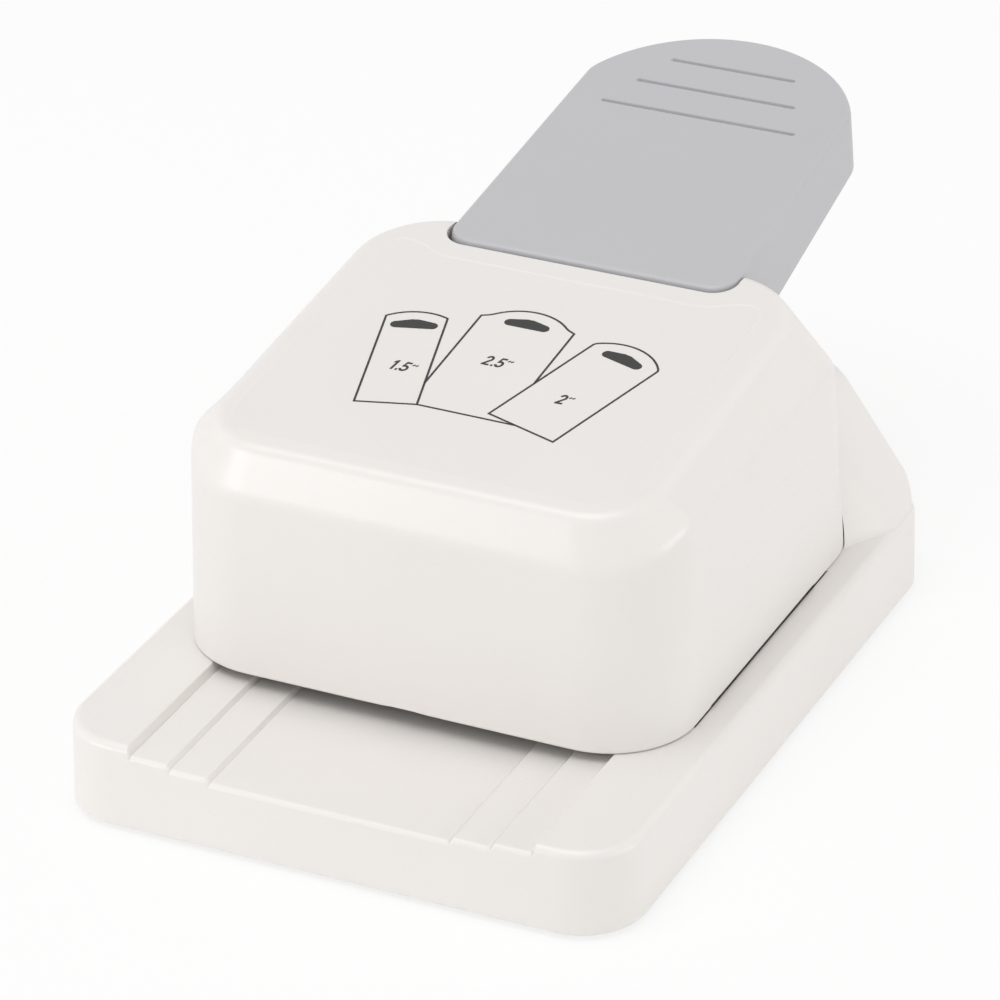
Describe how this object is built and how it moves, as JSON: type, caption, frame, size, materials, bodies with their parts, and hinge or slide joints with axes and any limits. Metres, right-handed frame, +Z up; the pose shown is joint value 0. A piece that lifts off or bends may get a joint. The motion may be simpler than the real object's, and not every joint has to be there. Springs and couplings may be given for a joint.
{
  "type": "gift tag punch",
  "caption": "Desk punch with a stepped paper guide, a box-shaped head and a rear press lever that cuts the rounded top and hanging hole of a paper tag.",
  "frame": {"origin": "middle of the whole punch seen from above, on the plane that its rubber feet stand on", "axes": "+X to the right seen from the front, where the paper goes in; +Y back, towards the lever's tail; +Z up"},
  "size_m": [0.0896, 0.156, 0.0679],
  "materials": {
    "white_plastic": "satin, fine grain",
    "cover_plastic": "matte",
    "grey_plastic": "satin, fine grain",
    "steel": "ground",
    "zinc_steel": "zinc plated",
    "rubber": "matte",
    "nylon": "matte"
  },
  "bodies": {
    "base": {"base_shell": "white_plastic", "bottom_cover": "cover_plastic", "foot_front_left": "rubber", "foot_front_right": "rubber", "foot_rear_left": "rubber", "foot_rear_right": "rubber", "die_plate": "steel", "guide_plate": "steel", "guide_spacer_left": "zinc_steel", "guide_spacer_right": "zinc_steel", "guide_post_left": "steel", "guide_post_right": "steel", "return_spring_left": "steel", "return_spring_right": "steel", "frame_side_left": "zinc_steel", "frame_side_right": "zinc_steel", "axle_pin": "steel", "axle_clip_left": "steel", "axle_clip_right": "steel", "axle_bush_left": "nylon", "axle_bush_right": "nylon", "set_screw_front_left": "zinc_steel", "set_screw_front_right": "zinc_steel", "set_screw_rear_left": "zinc_steel", "set_screw_rear_right": "zinc_steel", "cover_screw_front_left": "zinc_steel", "cover_screw_front_right": "zinc_steel", "cover_screw_rear_left": "zinc_steel", "cover_screw_rear_right": "zinc_steel", "head_screw_front_left": "zinc_steel", "head_screw_front_right": "zinc_steel", "head_screw_rear_left": "zinc_steel", "head_screw_rear_right": "zinc_steel", "head_cover": "white_plastic"},
    "lever": {"lever": "grey_plastic", "press_pin": "steel"},
    "punch": {"punch_carrier": "zinc_steel", "topper_punch": "steel", "hole_punch": "steel", "carrier_screw_left": "zinc_steel", "carrier_screw_right": "zinc_steel"}
  },
  "joints": [
    {"name": "lever_hinge", "type": "hinge", "parent": "base", "child": "lever", "pos_m": [0, -0.02995, 0.0428], "axis": [-1, 0, 0], "range_deg": [0, 11.17], "stiffness_Nm_per_rad": 0.3, "springref_deg": -10.89},
    {"name": "punch_slide", "type": "slide", "parent": "base", "child": "punch", "axis": [0, 0, -1], "range_m": [0, 0.0062], "stiffness_N_per_m": 200, "springref_m": -0.0085, "deforming": ["return_spring_left", "return_spring_right"]}
  ],
  "couplings": [
    {"joint": "lever_hinge", "follows": "punch_slide", "rad_per_m": 31.444}
  ]
}
